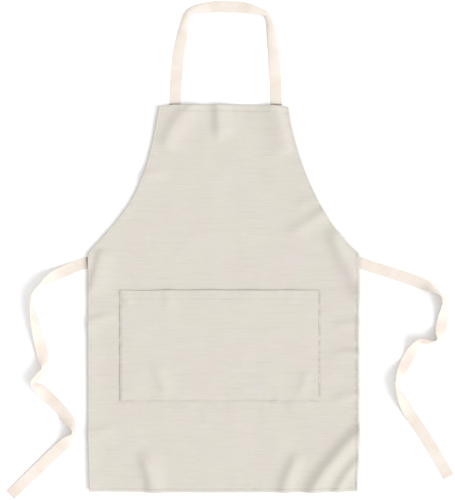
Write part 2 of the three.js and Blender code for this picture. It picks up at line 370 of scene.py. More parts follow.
def edgeSlants(side):  # how many times its own width a hem spans on the level, as its edge slants
    heights = np.linspace(-20, pattern["length"] + 20, 300)
    rise = np.gradient(edgeX(side, heights), heights)
    return heights, blurred(np.hypot(1, rise), 9)


slants = {side: edgeSlants(side) for side in (-1, 1)}


def slantAt(side, y):
    return np.interp(y, *slants[side])


def bottomShift(x):  # how far the bottom edge is above its line
    return pattern["bottomRise"] * np.clip(x / pattern["skirtEdge"][1], -1, 1) ** 2 - pattern["bottomOut"]


def topShift(x):  # and the top edge above its own
    shift = pattern["topOut"] + pattern["topWander"] * drift(x, 9.0, size=60, seed=6.0)
    for side in (-1, 1):
        shift = shift - pattern["bibDroop"][side] * smooth(*pattern["droopRun"][side], side * x)
    return shift


# Folds that the cloth keeps from being packed. Each runs along its points, with the flank on its
# left turned from the light: the points, the rise, the widths of the left and right flanks, and
# how far it takes to fade in at its start and out at its end.
bodyFolds = [
    ([(-2, 770), (-7, 803), (-10, 852)], 4.4, 14, 24, 34, 0),
    ([(-130, 748), (-120, 782), (-102, 815), (-70, 852)], 4.2, 17, 23, 25, 0),
    ([(-180, 696), (-150, 702), (-110, 699)], 2.2, 15, 11, 0, 40),
    ([(143, 742), (130, 790), (116, 852)], 3.4, 26, 15, 20, 0),
    ([(302, 440), (284, 485), (263, 522), (249, 560), (243, 598)], 4.6, 18, 20, 0, 40),
    ([(130, 572), (168, 583), (205, 606), (232, 628)], 2.5, 12, 16, 45, 0),
    ([(150, 632), (208, 650)], 1.2, 10, 12, 30, 0),
    ([(-291, 425), (-283, 470), (-272, 515), (-262, 548)], 3.6, 10, 26, 40, 30),
    ([(-302, 371), (-270, 384), (-230, 395)], 2.2, 10, 18, 0, 40),
    ([(236, 366), (302, 374)], 1.7, 8, 11, 30, 0),
    ([(225, 302), (302, 310)], 2.1, 9, 14, 40, 0),
    ([(228, 204), (302, 216)], 1.9, 10, 14, 40, 0),
    ([(-302, 128), (-262, 134), (-222, 137)], 1.8, 12, 15, 0, 50),
    ([(-155, -6), (-159, 30), (-170, 64), (-187, 98)], 5.0, 14, 23, 0, 45),
    ([(133, -6), (143, 30), (162, 74), (172, 96)], 4.4, 14, 17, 0, 40),
    ([(194, -6), (207, 20), (229, 52), (262, 92), (302, 134)], 6.2, 15, 20, 0, 0),
    ([(248, -6), (258, 15), (280, 48), (302, 72)], 3.8, 11, 13, 0, 0),
    ([(-205, 408), (-216, 430), (-240, 450)], 1.4, 8, 11, 15, 20),
]
pocketFolds = [
    ([(-129, 202), (-133, 235), (-145, 268), (-156, 292)], 3.0, 12, 18, 18, 30),
    ([(168, 204), (177, 236), (192, 278)], 2.4, 11, 13, 15, 30),
    ([(-120, 398), (-123, 448)], 1.7, 10, 15, 30, 0),
    ([(60, 400), (58, 448)], 1.2, 26, 22, 35, 0),
    ([(150, 408), (152, 448)], 1.0, 14, 14, 30, 0),
]


def foldLift(x, y, folds):
    lift = np.zeros(x.shape)
    for line, rise, left, right, fadeIn, fadeOut in folds:
        points = throughPoints(line, 5)
        nearest, along, run = np.full(x.shape, 1e6), np.zeros(x.shape), 0.0
        for (ax, ay), (bx, by) in zip(points[:-1], points[1:]):
            length = math.hypot(bx - ax, by - ay)
            ux, uy = (bx - ax) / length, (by - ay) / length
            t = np.clip((x - ax) * ux + (y - ay) * uy, 0, length)
            offX, offY = x - ax - ux * t, y - ay - uy * t
            signed = np.copysign(np.hypot(offX, offY), ux * offY - uy * offX)
            closer = np.abs(signed) < np.abs(nearest)
            nearest = np.where(closer, signed, nearest)
            along = np.where(closer, run + t, along)
            run += length
        profile = np.exp(-((nearest / np.where(nearest > 0, left, right)) ** 2))
        if fadeIn:
            profile = profile * smooth(0, fadeIn, along)
        if fadeOut:
            profile = profile * smooth(0, fadeOut, run - along)
        lift += rise * profile
    return lift


relief = {
    "swell": (1.4, 150),  # how high and how wide the cloth's slow swells are
    "dent": (0.9, 46),
    "folds": 1.9,  # times the rises above
    "leftEdge": (3.2, 16),  # how high the cloth's edges curl up, and how far in
    "leftCorner": (2.5, 10, 170),  # how much more at the corner, and the heights where that fades
    "topEdge": (2.0, 26),
    "tunnel": (1.8, 9),  # where a tape comes out from under the edge
    "tunnelSides": (0.5, 5),  # it closes between these, past the tape's edges
    "tieFrom": 270,  # a tie's is further from the middle than this
    "neckWithin": 30,  # the neck strap's are this near the top
}


def nearTop(y):
    return y > pattern["length"] - relief["neckWithin"]


def tapeWindow(x, y):  # 1 where a tape comes out from under the cloth's edge
    shuts = [tapeWidth / 2 + past for past in relief["tunnelSides"]]
    tie = (np.abs(x) > relief["tieFrom"]) * (1 - smooth(*shuts, np.abs(y - tieHeight)))
    necks = [1 - smooth(*shuts, np.abs(x - at)) for at in neckTapes]
    return np.maximum(tie, nearTop(y) * np.maximum(*necks))


def hemLevel(x, y):  # where the panel's front would be without its seams and tapes
    slow = 0
    for (height, size), seed in ((relief["swell"], 1.0), (relief["dent"], 5.0)):
        slow = slow + height * (0.5 + drift(x, y, size, seed))
    rise, low, high = relief["leftCorner"]
    corner = rise * (1 - smooth(low, high, y))
    rise, within = relief["leftEdge"]
    curl = (rise + corner) * np.exp(-np.clip(x - edgeX(-1, y), 0, None) / within)
    rise, within = relief["topEdge"]
    curl += rise * np.exp(-np.clip(pattern["length"] - y, 0, None) / within)
    return panelFront + relief["folds"] * foldLift(x, y, bodyFolds) + np.clip(slow, 0, None) + curl


def clothLevel(x, y):  # and where it would be with the tapes under it
    rise, within = relief["tunnel"]
    fromSide = np.minimum(np.abs(x - edgeX(-1, y)), np.abs(x - edgeX(1, y)))
    gap = np.where(nearTop(y), pattern["length"] - y, fromSide)
    return hemLevel(x, y) + rise * tapeWindow(x, y) * np.exp(-((gap / within) ** 2))


pucker = {
    "groove": 1.0,  # how deep a seam draws the cloth in
    "grooveHalf": 1.4,
    "dimple": 0.7,  # where the thread is tightest
    "dimplePitch": 27,
    "grip": {-1: (0.2, 0.3), 1: (0.8, 0.4)},  # of each side's seam, below and above its waist
    "gripBlend": 12,  # it changes this near the waist
    "endGrip": 0.6,  # of the seams across the bottom and the bib
    "deepest": 1.3,
    "ripple": 0.6,  # of the cloth beside the seam
    "rippleLift": 0.3,
    "ripplePitch": 13,
    "drawnOut": 0.4,  # a ripple is longer away from its seam, by 1 over this
    "reach": 20,
}


def drawnIn(inward, along, seed, grip=1.0):  # beside a seam; inward is how far past it
    p = pucker
    along = np.broadcast_to(along, inward.shape)
    near = np.abs(inward) < 4 * p["reach"]
    gap, run = inward[near], along[near]
    tight = np.clip(drift(run, seed * 7.0, p["dimplePitch"] / 2, seed), 0, None) * 2
    groove = np.exp(-((gap / p["grooveHalf"]) ** 2)) * (p["groove"] + p["dimple"] * tight)
    ripple = p["rippleLift"] + drift(run, gap * p["drawnOut"], p["ripplePitch"], seed + 0.5)
    ripple = ripple * np.exp(-np.abs(gap) / p["reach"])
    drawn = np.zeros(inward.shape)
    drawn[near] = p["ripple"] * ripple - groove * np.broadcast_to(grip, inward.shape)[near]
    return drawn


pocketLow, pocketHigh = patternBox("pocket_panel")
pocketLeft, pocketRight = pocketLow[0], pocketHigh[0]
pocketFoot, pocketMouth = pocketLow[1], pocketHigh[1]


def lineOf(node, axis):  # where a straight seam or tape runs
    low, high = patternBox(node)
    return (low[axis] + high[axis]) / 2


seamInset = {
    "side": 6.5,
    "bottom": lineOf("bottom_hem_thread", 1),
    "top": pattern["length"] - lineOf("top_hem_thread", 1),
    "pocket": lineOf("pocket_left_bar_tack", 0) - pocketLeft,
    "pocketHem": pocketMouth - lineOf("pocket_hem_thread", 1),
    "pocketHemEnds": 2,  # from the pocket's side seams
}
tieHeight = lineOf("left_tie_end", 1)
neckTapes = (lineOf("neck_strap_left_end", 0), lineOf("neck_strap_right_end", 0))


def panelTop(x, y):
    z = clothLevel(x, y)
    shut = 1 - tapeWindow(x, y)
    for side in (-1, 1):
        inward = side * (edgeX(side, y) - x) / slantAt(side, y) - seamInset["side"]
        below, above = pucker["grip"][side]
        upper = smooth(-pucker["gripBlend"], pucker["gripBlend"], y - pattern["waist"])
        grip = below + (above - below) * upper
        z += shut * drawnIn(inward, y, 2.0 + side, grip)
    z += drawnIn(y - bottomShift(x) - seamInset["bottom"], x, 5.0, pucker["endGrip"])
    z += shut * drawnIn(
        pattern["length"] + topShift(x) - y - seamInset["top"], x, 7.0, pucker["endGrip"]
    )
    besideX = np.maximum(pocketLeft - x, x - pocketRight)
    besideY = np.maximum(pocketFoot - y, y - pocketMouth)
    outside = np.hypot(np.clip(besideX, 0, None), np.clip(besideY, 0, None))
    along = np.where(besideX > besideY, y, x)
    ripple = drift(along, outside * pucker["drawnOut"], pucker["ripplePitch"], 8.5)
    away = outside - np.minimum(np.maximum(besideX, besideY), 0)
    held = np.exp(-away / pucker["reach"]) * (y < pocketMouth)
    z += pucker["ripple"] * held * ripple
    return np.maximum(z, panelFront - pucker["deepest"])


# The painted shade in the cleft beside the pocket's two sides and along the right hem, in runs where the
# thread is tight. The left edge has painted shade all the way, because it turns from the light.
cleft = {
    "half": 2.4,  # of its width
    "run": 10,
    "deep": 0.42,
    "tight": (-0.2, 0.0),  # the noise where a run starts and where it is full
    "endFade": 4,
    "pocketInset": (0.4, 1.2),  # from the left and right sides of the pocket
    "leftStart": 26,  # below the mouth
    "hemStart": 8,  # above the bottom edge
    "rim": 0.3,
    "rimHalf": 1.1,
}


def cleftShade(x, y):
    leftInset, rightInset = cleft["pocketInset"]
    hemTop = tieHeight - tapeWidth
    lines = (
        (pocketLeft + leftInset, pocketFoot, pocketMouth - cleft["leftStart"], 9.0),
        (pocketRight - rightInset, pocketFoot, pocketMouth, 11.0),
        (pattern["skirtEdge"][1] - seamInset["side"], cleft["hemStart"], hemTop, 3.0),
    )
    shade, fade = np.zeros(x.shape), cleft["endFade"]
    for at, low, high, seed in lines:
        tight = smooth(*cleft["tight"], drift(y, seed * 3.0, cleft["run"], seed + 0.7))
        within = smooth(low, low + fade, y) * (1 - smooth(high - fade, high, y))
        shade = np.maximum(shade, tight * within * np.exp(-(((x - at) / cleft["half"]) ** 2)))
    rim = np.exp(-(((x - edgeX(-1, y)) / cleft["rimHalf"]) ** 2))
    return np.maximum(cleft["deep"] * shade, cleft["rim"] * rim)


# How a turned edge rolls over: how far in from the edge, and how much of the roll's depth the
# cloth has dropped there, on the front and then behind.
turnedEdge = {
    "front": ([0, 0.7, 1.5, 2.6], [0.6, 0.3, 0.1, 0]),
    "behind": ([0.3, 1.0, 2.0, 2.35], [0.86, 0.985, 1.0, 0]),
    "tucked": 2.2,  # the turned part ends this far in
    "overTape": 0.75,  # how much of the front's roll a tape under the edge takes away
    "grooveShade": (0.45, 1.4),  # the painted shade at the bottom of a seam, and how deep that is
    "gap": 0.06,  # between the cloth and a hem behind it
}


def stations(low, high, lowSteps, highSteps, count):  # close together near both ends
    inner = np.linspace(low + lowSteps[-1], high - highSteps[-1], count)
    return np.concatenate([low + lowSteps[:-1], inner, high - highSteps[-2::-1]])


def edgeGrid(outline, roll):  # places over a panel, and how far each is from its edge
    side, foot, head = (np.array(roll + outline["steps"][part]) for part in ("side", "foot", "head"))
    across, up = outline["counts"]
    rows = stations(outline["foot"], outline["head"], foot, head, up)
    left, right = outline["left"](rows), outline["right"](rows)
    slantLeft, slantRight = outline["slantLeft"](rows), outline["slantRight"](rows)
    share = np.linspace(0, 1, across)
    innerLeft, innerRight = left + slantLeft * side[-1], right - slantRight * side[-1]
    x = np.concatenate([
        left[:, None] + slantLeft[:, None] * side[:-1],
        innerLeft[:, None] * (1 - share) + innerRight[:, None] * share,
        right[:, None] - slantRight[:, None] * side[-2::-1],
    ], axis=1)
    t = ((rows - outline["foot"]) / (outline["head"] - outline["foot"]))[:, None]
    y = rows[:, None] + outline["footShift"](x) * (1 - t) + outline["headShift"](x) * t
    fromSide = np.concatenate([side[:-1], np.full(across, side[-1]), side[-2::-1]])
    fromEnd = np.minimum(rows - outline["foot"], outline["head"] - rows)
    return x, y, np.minimum(fromSide[None, :], fromEnd[:, None])


def rolledCloth(name, outline, topOf, levelOf, material):
    front, behind, depth = turnedEdge["front"], turnedEdge["behind"], outline["rollDepth"]
    x, y, inward = edgeGrid(outline, front[0])
    shut = 1 - turnedEdge["overTape"] * tapeWindow(x, y)
    surface = topOf(x, y)
    # Painted shade in the colour: darker at the bottom of a seam and in the clefts.
    shade, deep = turnedEdge["grooveShade"]
    paintedShade = np.maximum(shade * np.clip((levelOf(x, y) - surface) / deep, 0, 1), cleftShade(x, y))
    top = np.stack([x, y, surface - shut * depth * np.interp(inward, *front)], -1)
    x, y, inward = edgeGrid(outline, behind[0])
    shut = 1 - tapeWindow(x, y)
    under = np.interp(inward, *behind) * depth
    tucked = levelOf(x, y) - canvasPly - shut * (under - canvasPly)
    z = np.where(inward < turnedEdge["tucked"], tucked, topOf(x, y) - canvasPly)
    return shell(name, top, np.stack([x, y, z], -1), material, paintedShade=paintedShade)


def turnedStrip(name, x, y, topOf, levelOf, drops, material):  # a hem or a turning behind the cloth
    ply = drops[1] - drops[0]
    top = np.minimum(levelOf(x, y) - drops[0], topOf(x, y) - canvasPly - turnedEdge["gap"])
    bottom = np.minimum(levelOf(x, y) - drops[1], top - 0.5 * ply)
    return shell(name, np.stack([x, y, top], -1), np.stack([x, y, bottom], -1), material)


bodyOutline = {
    "foot": 0,
    "head": pattern["length"],
    "left": lambda y: edgeX(-1, y),
    "right": lambda y: edgeX(1, y),
    "slantLeft": lambda y: slantAt(-1, y),
    "slantRight": lambda y: slantAt(1, y),
    "footShift": bottomShift,
    "headShift": topShift,
    "rollDepth": 3.1,  # from the front of the panel to under its hem
    "counts": (134, 200),  # evenly spaced points across and up
    "steps": {  # how far in from each edge the closer rows are
        "side": [3.8, 4.9, 5.6, 6.2, 6.8, 7.4, 8.2, 9.6, 12, 16],
        "foot": [4, 5.6, 6.8, 7.6, 8.4, 9.4, 11, 13.5, 17],
        "head": [4, 7, 10, 12, 13.2, 14, 14.8, 16, 19, 23],
    },
}
apronPanel = rolledCloth("apron_panel", bodyOutline, panelTop, clothLevel, bodyCanvas)
print("apron: panel made")


hem = {
    "drops": (2.2, 3.12),  # from the panel's front to the hem's top and its underside
    "start": 2.5,  # it starts where the roll ends
    "side": 10,  # how far in each hem reaches
    "bottom": 10,
    "top": 16,
    "cornerGap": 0.6,  # from the bottom hem up to the side hems
}


def sideStrip(node, side):
    low, high = patternBox(node)
    rows = np.linspace(max(low[1], hem["bottom"] + hem["cornerGap"]), high[1], 130)[:, None]
    inward = np.linspace(hem["start"], hem["side"], 5)
    x = edgeX(side, rows) - side * slantAt(side, rows) * inward
    return turnedStrip(f"{node}_cloth", x, rows + 0 * x, panelTop, hemLevel, hem["drops"], bodyCanvas)


def endStrip(node, depth, edgeAt, shiftOf, sign):  # sign is 1 at the foot and -1 at the head
    rows = edgeAt + sign * np.linspace(hem["start"], depth, 6)[:, None]
    share = np.linspace(0, 1, 150)
    x = (edgeX(-1, rows) + hem["start"]) * (1 - share) + (edgeX(1, rows) - hem["start"]) * share
    y = rows + shiftOf(x)
    return turnedStrip(f"{node}_cloth", x, y, panelTop, hemLevel, hem["drops"], bodyCanvas)


hems = {
    "bottom_hem": endStrip("bottom_hem", hem["bottom"], 0, bottomShift, 1),
    "top_hem": endStrip("top_hem", hem["top"], pattern["length"], topShift, -1),
}
for word, side in sides.items():
    for part in ("side", "armhole"):
        node = f"{word}_{part}_hem"
        hems[node] = sideStrip(node, side)
print("apron: hems made")


# The patch pocket lies on the panel, over its own turned-in edges, and its mouth stands off.
pocketShape = {
    "lie": 1.65,  # its front above the panel, at its seams
    "rise": 0.9,  # of the middle of its mouth
    "riseWithin": 75,  # from a side seam to where it stands free
    "risePower": 2.4,  # above 1, most of the rise is near the mouth
    "looseWithin": 30,  # from a seam to where it is slack
    "slack": (0.8, 80),  # how high and how wide its slack swells are
    "wander": 0.9,
    "mouthOut": 1.2,
    "mouthWander": 1.6,  # times the wander of its other edges
    "grooveShare": 0.65,  # its seams sink less than the panel's, over the turnings
    "mouthShare": 0.5,  # and the one under its mouth less still
    "gap": 0.1,  # at least this much above the panel, under its own cloth
    "turningDrops": (0.76, 1.36),
    "turning": 8,
    "turningGap": 0.4,  # between one turning and the next
}


def pocketLevel(x, y):
    p = pocketShape
    fromLeft, fromRight = x - pocketLeft, pocketRight - x
    free = smooth(0, p["riseWithin"], fromLeft) * smooth(0, p["riseWithin"], fromRight)
    up = np.clip((y - pocketFoot) / (pocketMouth - pocketFoot), 0, 1) ** p["risePower"]
    fromSeam = np.minimum(np.minimum(fromLeft, fromRight), y - pocketFoot)
    loose = smooth(0, p["looseWithin"], fromSeam)
    height, size = p["slack"]
    slack = loose * np.clip(height * (0.5 + drift(x, y, size, seed=21.0)), 0, None)
    level = panelTop(x, y) + p["lie"] + p["rise"] * free * up + slack
    return level + foldLift(x, y, pocketFolds) * loose


def pocketTop(x, y):
    inset = seamInset["pocket"]
    share = pocketShape["grooveShare"]
    z = pocketLevel(x, y)
    z += share * drawnIn(x - pocketLeft - inset, y, 9.0)
    z += share * drawnIn(pocketRight - inset - x, y, 11.0)
    z += share * drawnIn(y - pocketFoot - inset, x, 12.0)
    z += pocketShape["mouthShare"] * share * drawnIn(pocketMouth - seamInset["pocketHem"] - y, x, 14.0)
    return np.maximum(z, panelTop(x, y) + canvasPly + pocketShape["gap"])


def pocketWander(x, y, size, seed):
    return pocketShape["wander"] * drift(x, y, size, seed)


def mouthShift(x):
    return pocketShape["mouthOut"] + pocketShape["mouthWander"] * pocketWander(x, 4.0, 70, 34.0)


pocketOutline = {
    "foot": pocketFoot,
    "head": pocketMouth,
    "left": lambda y: pocketLeft + pocketWander(3.0, y, 40, 31.0),
    "right": lambda y: pocketRight + pocketWander(5.0, y, 40, 32.0),
    "slantLeft": np.ones_like,
    "slantRight": np.ones_like,
    "footShift": lambda x: pocketWander(x, 2.0, 50, 33.0),
    "headShift": mouthShift,
    "rollDepth": 1.5,
    "counts": (142, 84),
    "steps": {
        "side": [2.7, 3.3, 4.1, 5.2, 7, 9.5, 12.5],
        "foot": [2.7, 3.3, 4.1, 5.2, 7, 9.5, 12.5],
        "head": [5, 9, 13, 16, 17.4, 18.2, 19, 20.4, 23],
    },
}
patchPocket = rolledCloth("patch_pocket", pocketOutline, pocketTop, pocketLevel, pocketCanvas)
turning, turningGap = pocketShape["turning"], pocketShape["turningGap"]
outerLeft, outerRight = pocketLeft + hem["start"], pocketRight - hem["start"]
outerFoot, outerHead = pocketFoot + hem["start"], pocketMouth - hem["start"]
innerLeft, innerRight = pocketLeft + turning, pocketRight - turning
innerFoot, innerHead = pocketFoot + turning, patternBox("pocket_top_hem")[0][1]
pocketBacks = {}
for part, xRange, yRange, counts in (  # how far it runs across and up, and in how many steps
    ("top_hem", (innerLeft + turningGap, innerRight - turningGap), (innerHead, outerHead), (120, 10)),
    ("left_turning", (outerLeft, innerLeft), (innerFoot + turningGap, outerHead), (5, 70)),
    ("right_turning", (innerRight, outerRight), (innerFoot + turningGap, outerHead), (5, 70)),
    ("bottom_turning", (outerLeft, outerRight), (outerFoot, innerFoot), (120, 5)),
):
    x, y = np.meshgrid(np.linspace(*xRange, counts[0]), np.linspace(*yRange, counts[1]))
    pocketBacks[f"pocket_{part}"] = turnedStrip(
        f"pocket_{part}_cloth", x, y, pocketTop, pocketLevel, pocketShape["turningDrops"], pocketCanvas
    )
print("apron: pocket made")


# Each tape's route from its seam: across, along, and how far it is rolled from lying flat, in
# degrees. Rolled to 90 it stands on its edge, with the edge on the right of its run uppermost.
neckStrapShape = {
    "route": [
        (-105, 855, 0), (-105, 867, 0), (-104, 897, 0), (-99, 959, 3), (-94, 990, 12), (-90, 1012, 28),
        (-84, 1038, 54), (-77, 1056, 68), (-64, 1066, 58), (-48, 1070, 42), (-19, 1073, 15),
        (11, 1073, 0), (40, 1072, 12), (62, 1068, 33), (84, 1061, 60), (98, 1052, 74), (106, 1025, 52),
        (110, 994, 32), (113, 966, 22), (115, 932, 8), (117, 900, 0), (118, 867, 0), (118, 855, 0),
    ],
    "inward": (0, -1, 0),  # the way its sewn ends run, under the cloth
    "bothSewn": True,
    "rollShare": 0.3,  # how much of its roll tips it, and the rest arches it across
    "press": 0.35,  # it is pressed down to this share of its height
    "gapShade": 0.85,  # how dark the painted shade is where it comes out from under the edge
    "gapAt": 1.6,  # from its seam to the middle of that painted shade
}
leftTieShape = {
    "route": [
        (-296, 507, 0), (-308, 505, 0), (-325, 499, 0), (-346, 490, 6), (-367, 480, 20),
        (-385, 470, 50), (-399, 460, 78), (-410, 451, 90), (-419, 439, 90), (-423, 424, 90),
        (-422, 409, 84), (-419, 396, 68), (-416, 382, 55), (-412, 364, 42), (-406, 335, 24),
        (-400, 307, 12), (-396, 292, 26), (-393, 281, 64), (-396, 272, 78), (-403, 262, 66),
        (-411, 251, 60), (-418, 243, 72), (-415, 236, 66), (-405, 228, 32), (-391, 214, 8),
        (-369, 192, 0), (-352, 173, 6), (-338, 156, 36), (-330, 144, 70), (-329, 130, 78),
        (-337, 119, 44), (-352, 105, 14), (-382, 77, 8), (-412, 48, 6), (-441, 20, 4), (-470, -7, 0),
    ],
    "inward": (1, 0, 0),
    "bothSewn": False,
    "rollShare": 1.0,
    "press": 1.0,
    "gapShade": 0.85,
    "gapAt": 3.8,
}
rightTieShape = {
    "route": [
        (300, 507, 0), (310, 505, 0), (330, 497, 0), (370, 485, 0), (421, 468, 4), (446, 458, 16),
        (465, 449, 50), (479, 438, 74), (488, 423, 62), (490, 405, 36), (486, 382, 16), (482, 362, 14),
        (478, 348, 38), (474, 337, 72), (462, 331, 76), (449, 332, 62), (436, 333, 60),
        (427, 326, 46), (420, 314, 20), (411, 298, 4), (402, 281, 10), (393, 264, 34),
        (387, 250, 56), (384, 238, 66), (387, 224, 60), (394, 208, 40), (403, 191, 18),
        (415, 170, 4), (437, 138, 0), (470, 85, 0), (500, 33, 0),
    ],
    "inward": (-1, 0, 0),
    "bothSewn": False,
    "rollShare": 1.0,
    "press": 1.0,
    "gapShade": 0.1,
    "gapAt": 1.6,
}
tapeRun = {
    "sewn": 14,  # the end that is caught in the hem
    "dip": (-11, 3),  # it comes down to the surface between these, from its seam
    "underFront": 1.8,  # the middle of a sewn end under the panel's front
    "gapHalf": 1.9,  # of the painted shade where it comes out from under the edge
    "fineRun": 40,  # of close rows, from the sewn end
    "fineStep": 1.0,
    "step": 2.4,
    "rollBlur": 5,  # rows
    "narrowest": 0.3,  # an arch makes it look no narrower than this share of its width
    "gap": 0.05,  # from the surface
}
tapeProfile = (  # across from the middle, and half the thickness there, as shares
    (-1, 0.3), (-0.975, 0.75), (-0.92, 1), (-0.7, 0.9), (-0.45, 0.9), (-0.2, 0.9), (0, 0.9),
    (0.2, 0.9), (0.45, 0.9), (0.7, 0.9), (0.92, 1), (0.975, 0.75), (1, 0.3),
)


def archOf(squeeze):  # the half angle of an arch whose span is that share of its tape's width
    angles = np.linspace(1e-3, 2.4, 400)  # sin(angle) / angle only falls in this range
    return np.interp(-squeeze, -np.sin(angles) / angles, angles)


# A tape is rolled onto its edge by a share of the route's roll, arched across to look as narrow as
# the rest would make it, and pressed towards the surface.
def tapeStrip(name, shape):
    t, rollShare, bothSewn = tapeRun, shape["rollShare"], shape["bothSewn"]
    sewnEnd = t["sewn"] * np.array(shape["inward"])
    points = throughPoints(shape["route"], 12)
    points = np.vstack([points[0] + sewnEnd, points])
    if bothSewn:
        points = np.vstack([points, points[-1] + sewnEnd])
    run = np.concatenate([[0], np.cumsum(np.hypot(*np.diff(points[:, :2], axis=0).T))])
    fineEnd = run[-1] - (t["fineRun"] if bothSewn else 0)
    marks = np.concatenate([
        np.arange(0, t["fineRun"], t["fineStep"]),
        np.linspace(t["fineRun"], fineEnd, int((fineEnd - t["fineRun"]) / t["step"])),
        np.arange(fineEnd + t["fineStep"], run[-1] + 1e-3, t["fineStep"]),
    ])
    x, y, roll = (np.interp(marks, run, points[:, i]) for i in range(3))
    roll = np.radians(blurred(np.clip(roll, 0, 90), t["rollBlur"]))
    squeeze = np.cos(roll) / np.cos(rollShare * roll)
    arch = archOf(np.clip(squeeze, t["narrowest"], 1))[:, None]
    roll = rollShare * roll
    fromSeam = marks - t["sewn"]
    if bothSewn:
        fromSeam = np.minimum(fromSeam, run[-1] - t["sewn"] - marks)
    share = smooth(*t["dip"], fromSeam)
    along = np.stack([np.gradient(x, marks), np.gradient(y, marks)], 1)
    along /= np.linalg.norm(along, axis=1)[:, None]
    left = np.stack([-along[:, 1], along[:, 0], 0 * x], 1)
    up = np.array([0, 0, 1.0])
    cos, sin = np.cos(roll)[:, None], np.sin(roll)[:, None]
    across, normal = left * cos - up * sin, up * cos + left * sin
    middle = np.stack([x, y, tapeWidth / 2 * np.sin(roll)], 1)
    top, bottom, uvs = [], [], []
    for place, fullness in tapeProfile:
        lean = place * arch
        radius = tapeWidth / 2 / arch
        line = middle + across * radius * np.sin(lean) + normal * radius * (np.cos(lean) - np.cos(arch))
        sunk = clothLevel(line[:, 0], line[:, 1]) - t["underFront"]
        lying = shape["press"] * line[:, 2] + tapePly / 2 + t["gap"]
        line[:, 2] = sunk * (1 - share) + lying * share
        out = normal * np.cos(lean) + across * np.sin(lean)
        top.append(line + out * tapePly / 2 * fullness)
        bottom.append(line - out * tapePly / 2 * fullness)
        uvs.append(np.stack([0 * marks + place * tapeWidth / 2 * mm, marks * mm], 1))
    top, bottom, uvs = (np.stack(grid, 1) for grid in (top, bottom, uvs))
    length = np.linalg.norm(np.diff(middle, axis=0), axis=1).sum() * mm
    # Painted shade on the tape, where it comes out from under the hem.
    shade = shape["gapShade"] * np.exp(-(((fromSeam - shape["gapAt"]) / t["gapHalf"]) ** 2))
    paintedShade = np.broadcast_to(shade[:, None], top.shape[:2])
    return shell(name, top, bottom, twillTape, uvs, paintedShade), length


neckStrap, neckLength = tapeStrip("neck_strap_tape", neckStrapShape)
leftTie, leftLength = tapeStrip("left_tie_tape", leftTieShape)
rightTie, rightLength = tapeStrip("right_tie_tape", rightTieShape)
print("apron: tapes made", round(neckLength, 3), round(leftLength, 3), round(rightLength, 3))


# Stitches: one tree lays short rounded dashes along a path of edges.
stitch = {
    "pitch": 3.0,
    "long": 2.3,
    "thick": 0.55,
    "stray": 4,  # degrees
    "tackPitch": 0.5,  # of a bar tack, whose stitches lie across it
    "tackLong": 2.3,
    "sunk": 0.05,
    "pathStep": 1.5,
}


def stitchTree():
    tree = bpy.data.node_groups.new("stitches along a seam", "GeometryNodeTree")
    tree.interface.new_socket("Path", in_out="INPUT", socket_type="NodeSocketGeometry")
    for name, kind in (
        ("Pitch", "Float"), ("Size", "Vector"), ("Turn", "Float"), ("Stray", "Float"),
        ("Seed", "Int"), ("Thread", "Material"),
    ):
        tree.interface.new_socket(name, in_out="INPUT", socket_type=f"NodeSocket{kind}")
    tree.interface.new_socket("Stitches", in_out="OUTPUT", socket_type="NodeSocketGeometry")
    given = tree.nodes.new("NodeGroupInput").outputs
    curve = addNode(tree, "GeometryNodeMeshToCurve", {"Mesh": given["Path"]})
    spaced = addNode(tree, "GeometryNodeResampleCurve", {
        "Curve": curve, "Length": given["Pitch"],
    }, mode="LENGTH")
    ball = addNode(tree, "GeometryNodeMeshUVSphere", {"Segments": 8, "Rings": 5, "Radius": 0.5})
    dash = addNode(tree, "GeometryNodeTransform", {"Geometry": ball, "Scale": given["Size"]})
    along = addNode(tree, "GeometryNodeInputTangent")
    facing = addNode(tree, "FunctionNodeAlignRotationToVector", {"Vector": along}, axis="X")
    less = addNode(tree, "ShaderNodeMath", {0: given["Stray"], 1: -1.0}, operation="MULTIPLY")
    stray = addNode(tree, "FunctionNodeRandomValue", {
        2: less, 3: given["Stray"], "Seed": given["Seed"],
    }, output=1, data_type="FLOAT")
    angle = addNode(tree, "ShaderNodeMath", {0: given["Turn"], 1: stray}, operation="ADD")
    twist = addNode(tree, "ShaderNodeCombineXYZ", {"Z": angle})
    turned = addNode(tree, "FunctionNodeRotateRotation", {
        0: facing, 1: addNode(tree, "FunctionNodeEulerToRotation", {0: twist}),
    }, rotation_space="LOCAL")
    placed = addNode(tree, "GeometryNodeInstanceOnPoints", {
        "Points": spaced, "Instance": dash, "Rotation": turned,
    })
    real = addNode(tree, "GeometryNodeRealizeInstances", {"Geometry": placed})
    rounded = addNode(tree, "GeometryNodeSetShadeSmooth", {"Geometry": real})
    threaded = addNode(tree, "GeometryNodeSetMaterial", {
        "Geometry": rounded, "Material": given["Thread"],
    })
    addNode(tree, "NodeGroupOutput", {"Stitches": threaded})
    return tree


stitches = stitchTree()


